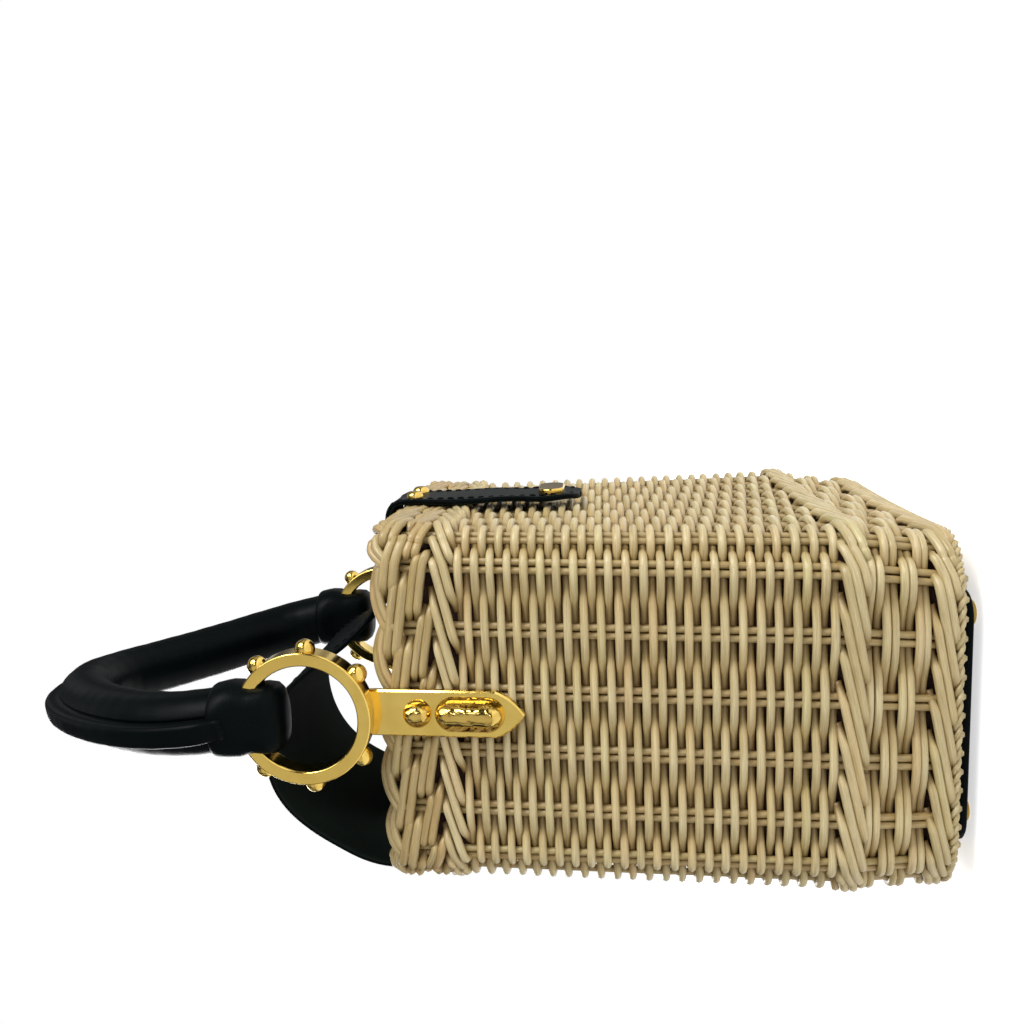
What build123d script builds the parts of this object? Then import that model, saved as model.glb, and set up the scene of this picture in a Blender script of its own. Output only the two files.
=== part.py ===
from build123d import *
import math
import os

os.makedirs("parts", exist_ok=True)

# Basket box bag. Millimetres, +Z up, X is the width, the front faces -Y.
# Origin: on the ground under the middle of the bag.

# ---------- driving dimensions ----------
foot_rise = 3.0          # feet below the leather patch
patch_t = 2.0            # leather patch under the basket
patch_inset_x = 2.5      # the patch ends this far inside the basket's foot
patch_inset_y = 16.5
base_z = foot_rise + patch_t
base_half_x = 78.0
base_half_y = 55.5
base_corner = 20.0
base_shift = 3.5         # the basket's foot sits a little to the back

bend_z = 38.0            # widest row, where the end panels turn in
bend_half_x = 85.0
bend_half_y = 56.0
bend_corner = 16.0

neck_z = 158.0           # twisted row under the border
neck_half_x = 65.0
neck_half_y = 57.8
neck_corner = 13.0
neck_shift = 0.8

rim_z = 181.0            # top of the braided border
rim_proud = 0.8          # the border stands out from the wall by this much
wall_t = 5.0             # woven wall

base_wale_top = 15.0
bend_wale_low = 34.0
bend_wale_top = 42.0
neck_wale_low = 152.0
neck_wale_top = 162.0
base_panel_t = 4.0

lining_t = 1.2
lining_gap = 0.1
lining_top = 174.0

ring_z = 203.5           # centre height of the hoops
ring_r = 21.5            # outer radius
ring_w = 4.3             # radial width
ring_depth = 8.0         # along X
ring_x = 67.6            # centre of a hoop along X
ring_stud_r = 3.2
ring_stud_angles = (38, 86, 130, -38, -86, -130)   # from straight down

plate_t = 2.0
plate_w = 15.0
plate_tip_z = 134.0
plate_tip_x = 69.3       # inner face at the tip
plate_tilt = 6.65        # degrees, the plate leans in towards its top
plate_len = 51.0
plate_point = 9.0        # length of the pointed tip
rivet_at = 34.0          # along the plate from its tip
boss_at = 17.2
rivet_r = 4.5
rivet_h = 3.4
boss_len = 22.0
boss_w = 11.0
boss_h = 4.0
shank_r = 2.0
hole_clear = 0.05        # radial, shank in wall

rivet_shank = 13.2
boss_shank = 11.8

backing_z = 160.0
backing_t = 1.5
backing_len = 36.0
backing_w = 13.0

loop_y = 21.6            # leather loop, along Y
loop_x = 17.0
loop_low_z = ring_z + ring_r - ring_w - 11.0
leg_z = ring_z + ring_r + 2.0   # loops end and the rolled handle begins
loop_clear = 0.3         # leather loop round the hoop

handle_r = 10.3
core_r = 7.4
rib_w = 7.0
rib_h = 4.5
handle_lean = 6.75       # degrees, the handle leans to the back

flap_t = 2.0
flap_half = 44.0
tongue_half = 14.0
hinge_y = 62.0
hinge_z = 174.4
tongue_y = -59.1         # middle of the leather on the front
tongue_bend_z = 178.5    # below this the tongue is flat
tongue_low = 116.0
panel_low = 118.0
panel_top = 173.0

stud_x = 7.0
stud_z = 175.0
stud_r = 3.0
closure_z = 126.5
closure_len = 20.0
closure_h = 9.0
closure_t = 1.8
magnet_r = 6.0
magnet_t = 1.2
keeper_t = 1.0

foot_x = 65.0
foot_y = 31.0
foot_r = 4.0

back_t = 2.2
back_low_y = 57.95       # inner face of the back panel, bottom
back_top_y = 60.1        # and top

slope = math.degrees(math.atan2(bend_half_x - neck_half_x, neck_z - bend_z))


def outline(z):
    """Half sizes, corner radius and Y shift of the outer wall at height z."""
    if z <= bend_z:
        k = (z - base_z) / (bend_z - base_z)
        lo = (base_half_x, base_half_y, base_corner, base_shift)
        hi = (bend_half_x, bend_half_y, bend_corner, 0.0)
    else:
        k = (z - bend_z) / (neck_z - bend_z)
        lo = (bend_half_x, bend_half_y, bend_corner, 0.0)
        hi = (neck_half_x, neck_half_y, neck_corner, neck_shift)
    return [a + (b - a) * k for a, b in zip(lo, hi)]


def section(z, inset):
    """Wall outline at height z, moved inwards by inset (outwards if negative)."""
    hx, hy, r, shift = outline(z)
    with BuildSketch(Plane.XY.offset(z)) as s:
        with Locations((0, shift)):
            RectangleRounded(2 * (hx - inset), 2 * (hy - inset), r - inset)
    return s.sketch


# ---------- woven walls ----------
with BuildPart() as base_wale:
    loft([section(base_z, 0), section(base_wale_top, 0)], ruled=True)
    loft([section(base_z, wall_t), section(base_wale_top, wall_t)], ruled=True, mode=Mode.SUBTRACT)

with BuildPart() as lower_weave:
    loft([section(base_wale_top, 0), section(bend_wale_low, 0)], ruled=True)
    loft([section(base_wale_top, wall_t), section(bend_wale_low, wall_t)], ruled=True, mode=Mode.SUBTRACT)

with BuildPart() as bend_wale:
    loft([section(bend_wale_low, 0), section(bend_z, 0), section(bend_wale_top, 0)], ruled=True)
    loft(
        [section(bend_wale_low, wall_t), section(bend_z, wall_t), section(bend_wale_top, wall_t)],
        ruled=True,
        mode=Mode.SUBTRACT,
    )

with BuildPart() as main_weave:
    loft([section(bend_wale_top, 0), section(neck_wale_low, 0)], ruled=True)
    loft([section(bend_wale_top, wall_t), section(neck_wale_low, wall_t)], ruled=True, mode=Mode.SUBTRACT)

with BuildPart() as top_wale:
    loft([section(neck_wale_low, 0), section(neck_wale_top, 0)], ruled=True)
    loft([section(neck_wale_low, wall_t), section(neck_wale_top, wall_t)], ruled=True, mode=Mode.SUBTRACT)

with BuildPart() as rim_border:
    loft([section(neck_wale_top, -rim_proud), section(rim_z, -rim_proud)], ruled=True)
    fillet(rim_border.faces().sort_by(Axis.Z)[-1].edges(), 2.4)
    loft([section(neck_wale_top, wall_t), section(rim_z, wall_t)], ruled=True, mode=Mode.SUBTRACT)

with BuildPart() as basket_base:
    loft([section(base_z, wall_t), section(base_z + base_panel_t, wall_t)], ruled=True)

with BuildPart() as lining:
    skin = wall_t + lining_gap
    loft(
        [section(base_z + base_panel_t, skin), section(bend_z, skin), section(lining_top, skin)],
        ruled=True,
    )
    skin = skin + lining_t
    loft(
        [section(base_z + base_panel_t + lining_t, skin), section(bend_z, skin), section(lining_top, skin)],
        ruled=True,
        mode=Mode.SUBTRACT,
    )

# ---------- underside ----------
with BuildPart() as base_patch:
    with BuildSketch(Plane.XY.offset(foot_rise)):
        with Locations((0, base_shift)):
            RectangleRounded(2 * (base_half_x - patch_inset_x), 2 * (base_half_y - patch_inset_y), 8)
    extrude(amount=patch_t)

with BuildPart() as feet:
    with Locations((0, base_shift, 0)):
        with GridLocations(2 * foot_x, 2 * foot_y, 2, 2):
            Cylinder(foot_r, foot_rise, align=(Align.CENTER, Align.CENTER, Align.MIN))
            Cylinder(1.5, base_z + base_panel_t, align=(Align.CENTER, Align.CENTER, Align.MIN))
    fillet(feet.edges().group_by(Axis.Z)[0], 1.2)

with BuildPart() as foot_holes:
    with Locations((0, base_shift, 0)):
        with GridLocations(2 * foot_x, 2 * foot_y, 2, 2):
            Cylinder(1.5 + hole_clear, 40, align=(Align.CENTER, Align.CENTER, Align.MIN))

# ---------- gold side plates, made on the +X side and mirrored ----------
tilt = math.radians(plate_tilt)
plate_plane = Plane(
    origin=(plate_tip_x, 0, plate_tip_z),
    x_dir=(0, 1, 0),
    z_dir=(math.cos(tilt), 0, math.sin(tilt)),
)
plate_out = Axis(plate_plane.origin, plate_plane.z_dir)
ring_axis = Location((ring_x, 0, ring_z), (0, 90, 0))

with BuildPart() as plate_right:
    with BuildSketch(plate_plane):
        with BuildLine():
            side_a = Line((-plate_w / 2, plate_len), (-plate_w / 2, plate_point))
            tip_a = ThreePointArc(side_a @ 1, (-plate_w / 2 + 2.9, plate_point / 2 - 0.5), (0, 0))
            tip_b = ThreePointArc(tip_a @ 1, (plate_w / 2 - 2.9, plate_point / 2 - 0.5), (plate_w / 2, plate_point))
            side_b = Line(tip_b @ 1, (plate_w / 2, plate_len))
            Line(side_b @ 1, side_a @ 0)
        make_face()
    extrude(amount=plate_t)
    chamfer(plate_right.faces().sort_by(plate_out)[-1].edges(), 0.5)
    with Locations(plate_plane):
        with Locations((0, rivet_at, 0), (0, boss_at, 0)):
            Cylinder(shank_r + hole_clear, 12, mode=Mode.SUBTRACT)
    with Locations(ring_axis):
        Cylinder(ring_r, 3 * ring_depth, mode=Mode.SUBTRACT)

with BuildPart() as rivet_right:
    with BuildSketch(plate_plane.offset(plate_t)):
        with Locations((0, rivet_at)):
            Circle(rivet_r)
    extrude(amount=rivet_h)
    fillet(rivet_right.faces().sort_by(plate_out)[-1].edges(), rivet_h - 0.2)
    with BuildSketch(plate_plane.offset(plate_t)):
        with Locations((0, rivet_at)):
            Circle(shank_r)
    extrude(amount=-rivet_shank)

with BuildPart() as boss_right:
    with BuildSketch(plate_plane.offset(plate_t)):
        with Locations((0, boss_at)):
            SlotOverall(boss_len, boss_w, rotation=90)
    extrude(amount=boss_h)
    fillet(boss_right.faces().sort_by(plate_out)[-1].edges(), boss_h - 0.2)
    with BuildSketch(plate_plane.offset(plate_t)):
        with Locations((0, boss_at)):
            Circle(shank_r)
    extrude(amount=-boss_shank)

# holes for the shanks through border, wall and lining
with BuildPart() as shank_holes:
    with Locations(plate_plane):
        with Locations((0, rivet_at, 0), (0, boss_at, 0)):
            Cylinder(shank_r + hole_clear, 50)
    mirror(about=Plane.YZ)

# plates inside the bag that the shanks are set on
lean_in = math.radians(slope)
backing_x = neck_half_x - (backing_z - neck_z) * math.tan(lean_in) - (wall_t + lining_gap + lining_t) - 0.15
backing_plane = Plane(
    origin=(backing_x, 0, backing_z),
    x_dir=(0, 1, 0),
    z_dir=(math.cos(lean_in), 0, math.sin(lean_in)),
)
with BuildPart() as backing_plates:
    with BuildSketch(backing_plane):
        SlotOverall(backing_len, backing_w, rotation=90)
    extrude(amount=-backing_t)
    mirror(about=Plane.YZ)
    add(shank_holes.part, mode=Mode.SUBTRACT)

# ---------- hoops and their studs ----------
with BuildPart() as ring_right:
    with Locations(ring_axis):
        Cylinder(ring_r, ring_depth)
        Cylinder(ring_r - ring_w, ring_depth + 2, mode=Mode.SUBTRACT)
    fillet(ring_right.edges().filter_by(GeomType.CIRCLE), 0.6)

with BuildPart() as ring_studs_right:
    for angle in ring_stud_angles:
        a = math.radians(angle)
        reach = ring_r + 0.4
        with Locations((ring_x, -reach * math.sin(a), ring_z - reach * math.cos(a))):
            Sphere(ring_stud_r)
    with Locations(ring_axis):
        Cylinder(ring_r, 4 * ring_depth, mode=Mode.SUBTRACT)

# ---------- leather loops ----------
lean = math.radians(handle_lean)
leg_plane = Plane(origin=(0, 0, leg_z), x_dir=(1, 0, 0), z_dir=(0, math.sin(lean), math.cos(lean)))

with BuildPart() as loop_channel:
    with Locations(ring_axis):
        Cylinder(ring_r + loop_clear, ring_depth + 2 * loop_clear)
        Cylinder(ring_r - ring_w - loop_clear, 2 * ring_depth, mode=Mode.SUBTRACT)

with BuildPart() as loop_right:
    with BuildSketch(Plane.XY.offset(loop_low_z)):
        with Locations((ring_x, 0)):
            RectangleRounded(loop_x, loop_y, 5)
    extrude(amount=leg_z + 4 - loop_low_z)
    fillet(loop_right.edges().group_by(Axis.Z)[0], 4.2)
    add(loop_channel.part, mode=Mode.SUBTRACT)
    split(bisect_by=leg_plane, keep=Keep.BOTTOM)

# ---------- rolled handle ----------
# Corner points of its centre line in the leaning plane: across the bag, and up from the top of the loops.
arch = [(ring_x, 0.0), (ring_x, 15.0), (56.5, 37.5), (38.0, 58.5), (15.0, 77.0)]
arch_points = arch + [(-x, up) for x, up in reversed(arch)]


def corner_radii(points):
    """Fillet radii as large as the runs on both sides of each corner allow."""
    radii = []
    for p, q, r in zip(points, points[1:], points[2:]):
        run_in = math.dist(p, q)
        run_out = math.dist(q, r)
        turn = math.atan2(r[1] - q[1], r[0] - q[0]) - math.atan2(q[1] - p[1], q[0] - p[0])
        turn = abs((turn + math.pi) % (2 * math.pi) - math.pi)
        radii.append(0.45 * min(run_in, run_out) / math.tan(turn / 2))
    return radii


arch_radii = corner_radii(arch_points)
print("handle bend radii", [round(r, 1) for r in arch_radii])
arch_plane = Plane(origin=(0, 0, leg_z), x_dir=(1, 0, 0), z_dir=(0, -math.cos(lean), math.sin(lean)))

with BuildPart() as handle_leather:
    with BuildLine(arch_plane) as cover_path:
        FilletPolyline(*arch_points, radius=arch_radii)
    with BuildSketch(Plane(origin=(ring_x, 0, leg_z), x_dir=(1, 0, 0), z_dir=leg_plane.z_dir)) as cover_section:
        Circle(handle_r)
        with Locations((handle_r + rib_h / 2 - 1, 0)):
            RectangleRounded(rib_h + 2, rib_w, 2.4)
        Circle(core_r, mode=Mode.SUBTRACT)
    sweep(path=cover_path.wires()[0])

with BuildPart() as handle_core:
    with BuildLine(arch_plane) as core_path:
        FilletPolyline(*arch_points, radius=arch_radii)
    with BuildSketch(Plane(origin=(ring_x, 0, leg_z), x_dir=(1, 0, 0), z_dir=leg_plane.z_dir)):
        Circle(core_r)
    sweep(path=core_path.wires()[0])

# ---------- leather on the back, flap and tongue ----------
with BuildPart() as back_panel:
    with BuildSketch(Plane.YZ):
        Polygon(
            (back_low_y, panel_low),
            (back_top_y, panel_top),
            (back_top_y + back_t, panel_top),
            (back_low_y + back_t, panel_low),
            align=None,
        )
    extrude(amount=flap_half, both=True)
    fillet(back_panel.edges().filter_by(lambda e: e.length < back_t + 0.5).group_by(Axis.Z)[0], 14)

back_tilt = math.degrees(math.atan2(back_top_y - back_low_y, panel_top - panel_low))
back_plane = Plane(
    origin=(0, back_low_y + back_t, panel_low),
    x_dir=(1, 0, 0),
    z_dir=(0, math.cos(math.radians(back_tilt)), -math.sin(math.radians(back_tilt))),
)
back_spots = [(-34, -16), (34, -16), (-34, -46), (34, -46)]
with BuildPart() as back_rivets:
    with Locations(back_plane):
        with Locations(*[(x, up, 0) for x, up in back_spots]):
            Cylinder(3.5, 1.8, align=(Align.CENTER, Align.CENTER, Align.MIN))
    fillet(back_rivets.edges().filter_by(GeomType.CIRCLE).group_by(Axis.Y)[-1], 0.4)
    with Locations(back_plane):
        with Locations(*[(x, up, 0) for x, up in back_spots]):
            Cylinder(1.4, 11.0, align=(Align.CENTER, Align.CENTER, Align.MAX))
with BuildPart() as back_holes:
    with Locations(back_plane):
        with Locations(*[(x, up, 0) for x, up in back_spots]):
            Cylinder(1.4 + hole_clear, 40)

# Middle line of the flap from its hinge, over the open top, and down the front: (y, z).
flap_line = [
    (hinge_y, hinge_z + 0.8), (hinge_y + 0.3, 181.0), (60.8, 190.0), (57.2, 199.0), (50.2, 210.0),
    (41.0, 219.0), (31.0, 224.2), (20.0, 225.6), (9.5, 223.2), (0.5, 217.2), (-6.5, 208.8),
    (-12.5, 199.4), (-19.5, 191.4), (-29.0, 186.4), (-40.0, 184.6), (-52.0, 184.2), (-57.3, 182.6),
]


def side_of(points, distance):
    """Points moved sideways from a line by distance."""
    moved = []
    for i, (y, z) in enumerate(points):
        before = points[max(i - 1, 0)]
        after = points[min(i + 1, len(points) - 1)]
        dy = after[0] - before[0]
        dz = after[1] - before[1]
        size = math.hypot(dy, dz)
        moved.append((y + distance * dz / size, z - distance * dy / size))
    return moved


with BuildPart() as flap:
    with BuildSketch(Plane.YZ):
        with BuildLine():
            outer_y = tongue_y - flap_t / 2
            inner_y = tongue_y + flap_t / 2
            top_side = Spline(
                *side_of(flap_line, flap_t / 2), (outer_y, tongue_bend_z),
                tangents=((0, 1), (0, -1)),
            )
            under_side = Spline(
                *side_of(flap_line, -flap_t / 2), (inner_y, tongue_bend_z),
                tangents=((0, 1), (0, -1)),
            )
            Line(top_side @ 0, under_side @ 0)
            Line(top_side @ 1, (outer_y, tongue_low))
            Line((outer_y, tongue_low), (inner_y, tongue_low))
            Line((inner_y, tongue_low), under_side @ 1)
        make_face()
    extrude(amount=flap_half, both=True)
    with BuildSketch(Plane.XY.offset(100)):
        with BuildLine():
            back_edge = Line((-flap_half, 80), (flap_half, 80))
            right_edge = Line(back_edge @ 1, (flap_half, 14))
            right_curve = Spline(
                right_edge @ 1, (flap_half - 12, -8), (tongue_half + 5, -22), (tongue_half, -44),
                tangents=((0, -1), (0, -1)),
            )
            right_tongue = Line(right_curve @ 1, (tongue_half, -80))
            front_edge = Line(right_tongue @ 1, (-tongue_half, -80))
            left_tongue = Line(front_edge @ 1, (-tongue_half, -44))
            left_curve = Spline(
                left_tongue @ 1, (-tongue_half - 5, -22), (12 - flap_half, -8), (-flap_half, 14),
                tangents=((0, 1), (0, 1)),
            )
            Line(left_curve @ 1, back_edge @ 0)
        make_face()
    extrude(amount=150, mode=Mode.INTERSECT)
    fillet(flap.edges().filter_by(Axis.Y).group_by(Axis.Z)[0], 10)

front = Plane(origin=(0, tongue_y - flap_t / 2, 0), x_dir=(1, 0, 0), z_dir=(0, -1, 0))
with BuildPart() as tongue_studs:
    with Locations(front):
        with Locations((-stud_x, stud_z, 0), (stud_x, stud_z, 0)):
            Cylinder(stud_r, 2.4, align=(Align.CENTER, Align.CENTER, Align.MIN))
    fillet(tongue_studs.edges().group_by(Axis.Y)[0], 2.1)
    with Locations(front):
        with Locations((-stud_x, stud_z, 0), (stud_x, stud_z, 0)):
            Cylinder(1.2, flap_t, align=(Align.CENTER, Align.CENTER, Align.MAX))

with BuildPart() as closure_plate:
    with BuildSketch(front):
        with Locations((0, closure_z)):
            SlotOverall(closure_len, closure_h)
    extrude(amount=closure_t)
    fillet(closure_plate.faces().sort_by(Axis.Y)[0].edges(), 0.7)
    with Locations(front):
        with Locations((-6.5, closure_z, 0), (6.5, closure_z, 0)):
            Cylinder(1.0, 0.8, align=(Align.CENTER, Align.CENTER, Align.MAX))

inside = Plane(origin=(0, tongue_y + flap_t / 2, 0), x_dir=(1, 0, 0), z_dir=(0, -1, 0))
with BuildPart() as closure_magnet:
    with BuildSketch(inside):
        with Locations((0, closure_z)):
            Circle(magnet_r)
    extrude(amount=magnet_t)

with BuildPart() as flap_holes:
    with Locations(front):
        with Locations((-stud_x, stud_z, 0), (stud_x, stud_z, 0)):
            Cylinder(1.2, 2 * flap_t + 2)
        with Locations((-6.5, closure_z, 0), (6.5, closure_z, 0)):
            Cylinder(1.0, 1.6)
    with BuildSketch(inside):
        with Locations((0, closure_z)):
            Circle(magnet_r)
    extrude(amount=magnet_t)
with BuildPart() as flap_cut:
    add(flap.part)
    add(flap_holes.part, mode=Mode.SUBTRACT)

# steel keeper on the front wall that the magnet meets
hx, hy, corner, shift = outline(closure_z)
keeper_plane = Plane(origin=(0, shift - hy + 0.05, 0), x_dir=(1, 0, 0), z_dir=(0, -1, 0))
with BuildPart() as closure_keeper:
    with BuildSketch(keeper_plane):
        with Locations((0, closure_z)):
            Circle(magnet_r)
    extrude(amount=keeper_t)
    with Locations(keeper_plane):
        with Locations((0, closure_z, 0)):
            Cylinder(1.5, wall_t, align=(Align.CENTER, Align.CENTER, Align.MAX))
with BuildPart() as keeper_space:
    with BuildSketch(keeper_plane):
        with Locations((0, closure_z)):
            Circle(magnet_r + hole_clear)
    extrude(amount=keeper_t)
    with Locations(keeper_plane):
        with Locations((0, closure_z, 0)):
            Cylinder(1.5 + hole_clear, 2 * wall_t)

# ---------- holes in the woven parts, lining and leather ----------
with BuildPart() as main_weave_cut:
    add(main_weave.part)
    add(shank_holes.part, mode=Mode.SUBTRACT)
    add(back_holes.part, mode=Mode.SUBTRACT)
    add(keeper_space.part, mode=Mode.SUBTRACT)

with BuildPart() as top_wale_cut:
    add(top_wale.part)
    add(shank_holes.part, mode=Mode.SUBTRACT)
    add(back_holes.part, mode=Mode.SUBTRACT)

with BuildPart() as rim_border_cut:
    add(rim_border.part)
    add(shank_holes.part, mode=Mode.SUBTRACT)
    add(back_holes.part, mode=Mode.SUBTRACT)

with BuildPart() as lining_cut:
    add(lining.part)
    add(shank_holes.part, mode=Mode.SUBTRACT)
    add(back_holes.part, mode=Mode.SUBTRACT)

with BuildPart() as back_panel_cut:
    add(back_panel.part)
    add(back_holes.part, mode=Mode.SUBTRACT)

with BuildPart() as basket_base_cut:
    add(basket_base.part)
    add(foot_holes.part, mode=Mode.SUBTRACT)

with BuildPart() as base_patch_cut:
    add(base_patch.part)
    add(foot_holes.part, mode=Mode.SUBTRACT)

# ---------- pieces that are pairs ----------
with BuildPart() as plate_left:
    add(mirror(plate_right.part, about=Plane.YZ))

with BuildPart() as ring_left:
    add(mirror(ring_right.part, about=Plane.YZ))

with BuildPart() as ring_studs_left:
    add(mirror(ring_studs_right.part, about=Plane.YZ))

with BuildPart() as loop_left:
    add(mirror(loop_right.part, about=Plane.YZ))

with BuildPart() as plate_rivets:
    add(rivet_right.part)
    mirror(about=Plane.YZ)

with BuildPart() as plate_bosses:
    add(boss_right.part)
    mirror(about=Plane.YZ)

# ---------- export ----------
nodes = {
    "base_wale": base_wale,
    "lower_weave": lower_weave,
    "bend_wale": bend_wale,
    "main_weave": main_weave_cut,
    "top_wale": top_wale_cut,
    "rim_border": rim_border_cut,
    "basket_base": basket_base_cut,
    "lining": lining_cut,
    "base_patch": base_patch_cut,
    "feet": feet,
    "back_panel": back_panel_cut,
    "back_rivets": back_rivets,
    "flap": flap_cut,
    "tongue_studs": tongue_studs,
    "closure_plate": closure_plate,
    "closure_magnet": closure_magnet,
    "closure_keeper": closure_keeper,
    "plate_left": plate_left,
    "plate_right": plate_right,
    "ring_left": ring_left,
    "ring_right": ring_right,
    "ring_studs_left": ring_studs_left,
    "ring_studs_right": ring_studs_right,
    "plate_rivets": plate_rivets,
    "plate_bosses": plate_bosses,
    "backing_plates": backing_plates,
    "handle_leather": handle_leather,
    "handle_core": handle_core,
    "loop_left": loop_left,
    "loop_right": loop_right,
}
for label, piece in nodes.items():
    piece.part.label = label
    export_step(piece.part, "parts/" + label + ".step")
    box = piece.part.bounding_box()
    print(label, len(piece.part.solids()), round(piece.part.volume), box.min, box.max)
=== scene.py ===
import math

import bpy
import numpy as np
from mathutils import Matrix, Vector


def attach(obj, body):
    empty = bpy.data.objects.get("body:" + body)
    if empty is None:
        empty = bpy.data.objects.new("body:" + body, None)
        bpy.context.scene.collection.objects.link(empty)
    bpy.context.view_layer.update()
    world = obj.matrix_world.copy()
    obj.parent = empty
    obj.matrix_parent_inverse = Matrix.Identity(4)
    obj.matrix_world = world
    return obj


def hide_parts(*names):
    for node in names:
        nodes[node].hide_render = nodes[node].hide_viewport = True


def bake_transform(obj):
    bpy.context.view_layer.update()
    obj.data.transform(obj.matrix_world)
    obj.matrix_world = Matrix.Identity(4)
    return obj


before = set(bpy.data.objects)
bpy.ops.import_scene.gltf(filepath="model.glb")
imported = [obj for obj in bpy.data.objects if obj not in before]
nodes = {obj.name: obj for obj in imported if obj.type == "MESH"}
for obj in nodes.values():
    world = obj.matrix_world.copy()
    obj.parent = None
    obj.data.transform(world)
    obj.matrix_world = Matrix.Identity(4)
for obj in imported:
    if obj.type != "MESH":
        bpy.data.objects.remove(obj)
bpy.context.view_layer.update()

rng = np.random.default_rng(7)
MM = 0.001

# ---------------------------------------------------------------- basket form
# Height, half width, half depth, corner radius and shift to the back, in mm, as in the CAD.
FOOT = (5.0, 78.0, 55.5, 20.0, 3.5)
BEND = (38.0, 85.0, 56.0, 16.0, 0.0)
NECK = (158.0, 65.0, 57.8, 13.0, 0.8)
HOLLOW = 0.9             # the long sides bow in a little between their corners
UNITS = 28               # pairs of upright stakes round the basket

# Places of the stake pairs along each panel, from -1 to 1 between the middles of its corners.
END_STAKES = (-0.863, -0.481, -0.119, 0.234, 0.587, 0.887)
LONG_STAKES = (-0.93, -0.66, -0.40, -0.135, 0.135, 0.40, 0.66, 0.93)
PANELS = (END_STAKES, LONG_STAKES, tuple(-v for v in reversed(END_STAKES)), LONG_STAKES)
STAKE_P = np.array([i + (v + 1) / 2 for i, row in enumerate(PANELS) for v in row])
OUTWARD = np.array([(-1.0, 0.0), (0.0, 1.0), (1.0, 0.0), (0.0, -1.0)])
FORWARD = np.array([(0.0, 1.0), (1.0, 0.0), (0.0, -1.0), (-1.0, 0.0)])


def outline(z):
    low = z <= BEND[0]
    k = np.where(low, (z - FOOT[0]) / (BEND[0] - FOOT[0]), (z - BEND[0]) / (NECK[0] - BEND[0]))
    return [
        np.where(low, a + (b - a) * k, b + (c - b) * k) for a, b, c in zip(FOOT[1:], BEND[1:], NECK[1:])
    ]


def around(k):
    """Place round the outline, 0 to 4, of stake number k, which need not be whole."""
    turns = np.floor(k / UNITS)
    places = np.concatenate(([STAKE_P[-1] - 4], STAKE_P, [STAKE_P[0] + 4]))
    return (np.interp(k - turns * UNITS, np.arange(-1, UNITS + 1), places)) % 4


def wall(k, z, out):
    """Points on the wall (mm), out of it by out, and their outward directions.

    k counts stakes and grows clockwise seen from above.
    """
    k, z, out = np.broadcast_arrays(np.asarray(k, float), np.asarray(z, float), np.asarray(out, float))
    p = around(k)
    side = np.floor(p).astype(int) % 4
    v = 2 * (p - np.floor(p)) - 1
    hx, hy, r, shift = outline(z)
    ends = side % 2 == 0
    reach = np.where(ends, hx, hy) - r
    flat = np.where(ends, hy, hx) - r
    out = out + np.where(ends, 0.0, HOLLOW * (1.8 * np.abs(v) ** 2.2 - 0.8))
    d = np.abs(v) * (flat + r * math.pi / 4)
    turn = np.maximum(d - flat, 0) / r
    along = np.sign(v) * (np.minimum(d, flat) + r * np.sin(turn))
    n_out, n_along = np.cos(turn), np.sign(v) * np.sin(turn)
    o, f = OUTWARD[side], FORWARD[side]
    far = (reach + r * n_out + out * n_out)[..., None] * o + (along + out * n_along)[..., None] * f
    normal = n_out[..., None] * o + n_along[..., None] * f
    pos = np.concatenate([far, z[..., None]], -1)
    pos[..., 1] += shift
    return pos, np.concatenate([normal, np.zeros_like(z)[..., None]], -1)


# ---------------------------------------------------------------- meshes
def smooth(t):
    t = np.clip(t, 0, 1)
    return t * t * (3 - 2 * t)


def catmull(points, n):
    """Smooth line through given points, n points evenly spaced along it."""
    p = np.asarray(points, float)
    p = np.concatenate([[2 * p[0] - p[1]], p, [2 * p[-1] - p[-2]]])
    fine = []
    for i in range(1, len(p) - 2):
        t = np.linspace(0, 1, 40, endpoint=False)[:, None]
        a, b, c, d = p[i - 1], p[i], p[i + 1], p[i + 2]
        square = 2 * a - 5 * b + 4 * c - d
        cube = 3 * b - a - 3 * c + d
        fine.append(0.5 * (2 * b + (c - a) * t + square * t ** 2 + cube * t ** 3))
    fine = np.concatenate([*fine, p[-2:-1]])
    run = np.concatenate([[0], np.cumsum(np.linalg.norm(np.diff(fine, axis=0), axis=1))])
    at = np.linspace(0, run[-1], n)
    return np.stack([np.interp(at, run, fine[:, i]) for i in range(fine.shape[1])], -1)


def new_piece(name, verts, faces, material, body, attributes=None):
    """A smooth mesh piece from points in mm."""
    mesh = bpy.data.meshes.new(name)
    mesh.from_pydata((np.asarray(verts) * MM).tolist(), [], faces)
    mesh.validate()
    mesh.polygons.foreach_set("use_smooth", [True] * len(mesh.polygons))
    for key, values in (attributes or {}).items():
        values = np.asarray(values, np.float32)
        kind = "FLOAT" if values.ndim == 1 else "FLOAT_VECTOR"
        layer = mesh.attributes.new(key, kind, "POINT")
        layer.data.foreach_set("value" if values.ndim == 1 else "vector", values.ravel())
    piece = bpy.data.objects.new(name, mesh)
    bpy.context.scene.collection.objects.link(piece)
    piece.data.materials.append(material)
    if body:
        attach(piece, body)
    return piece


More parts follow.
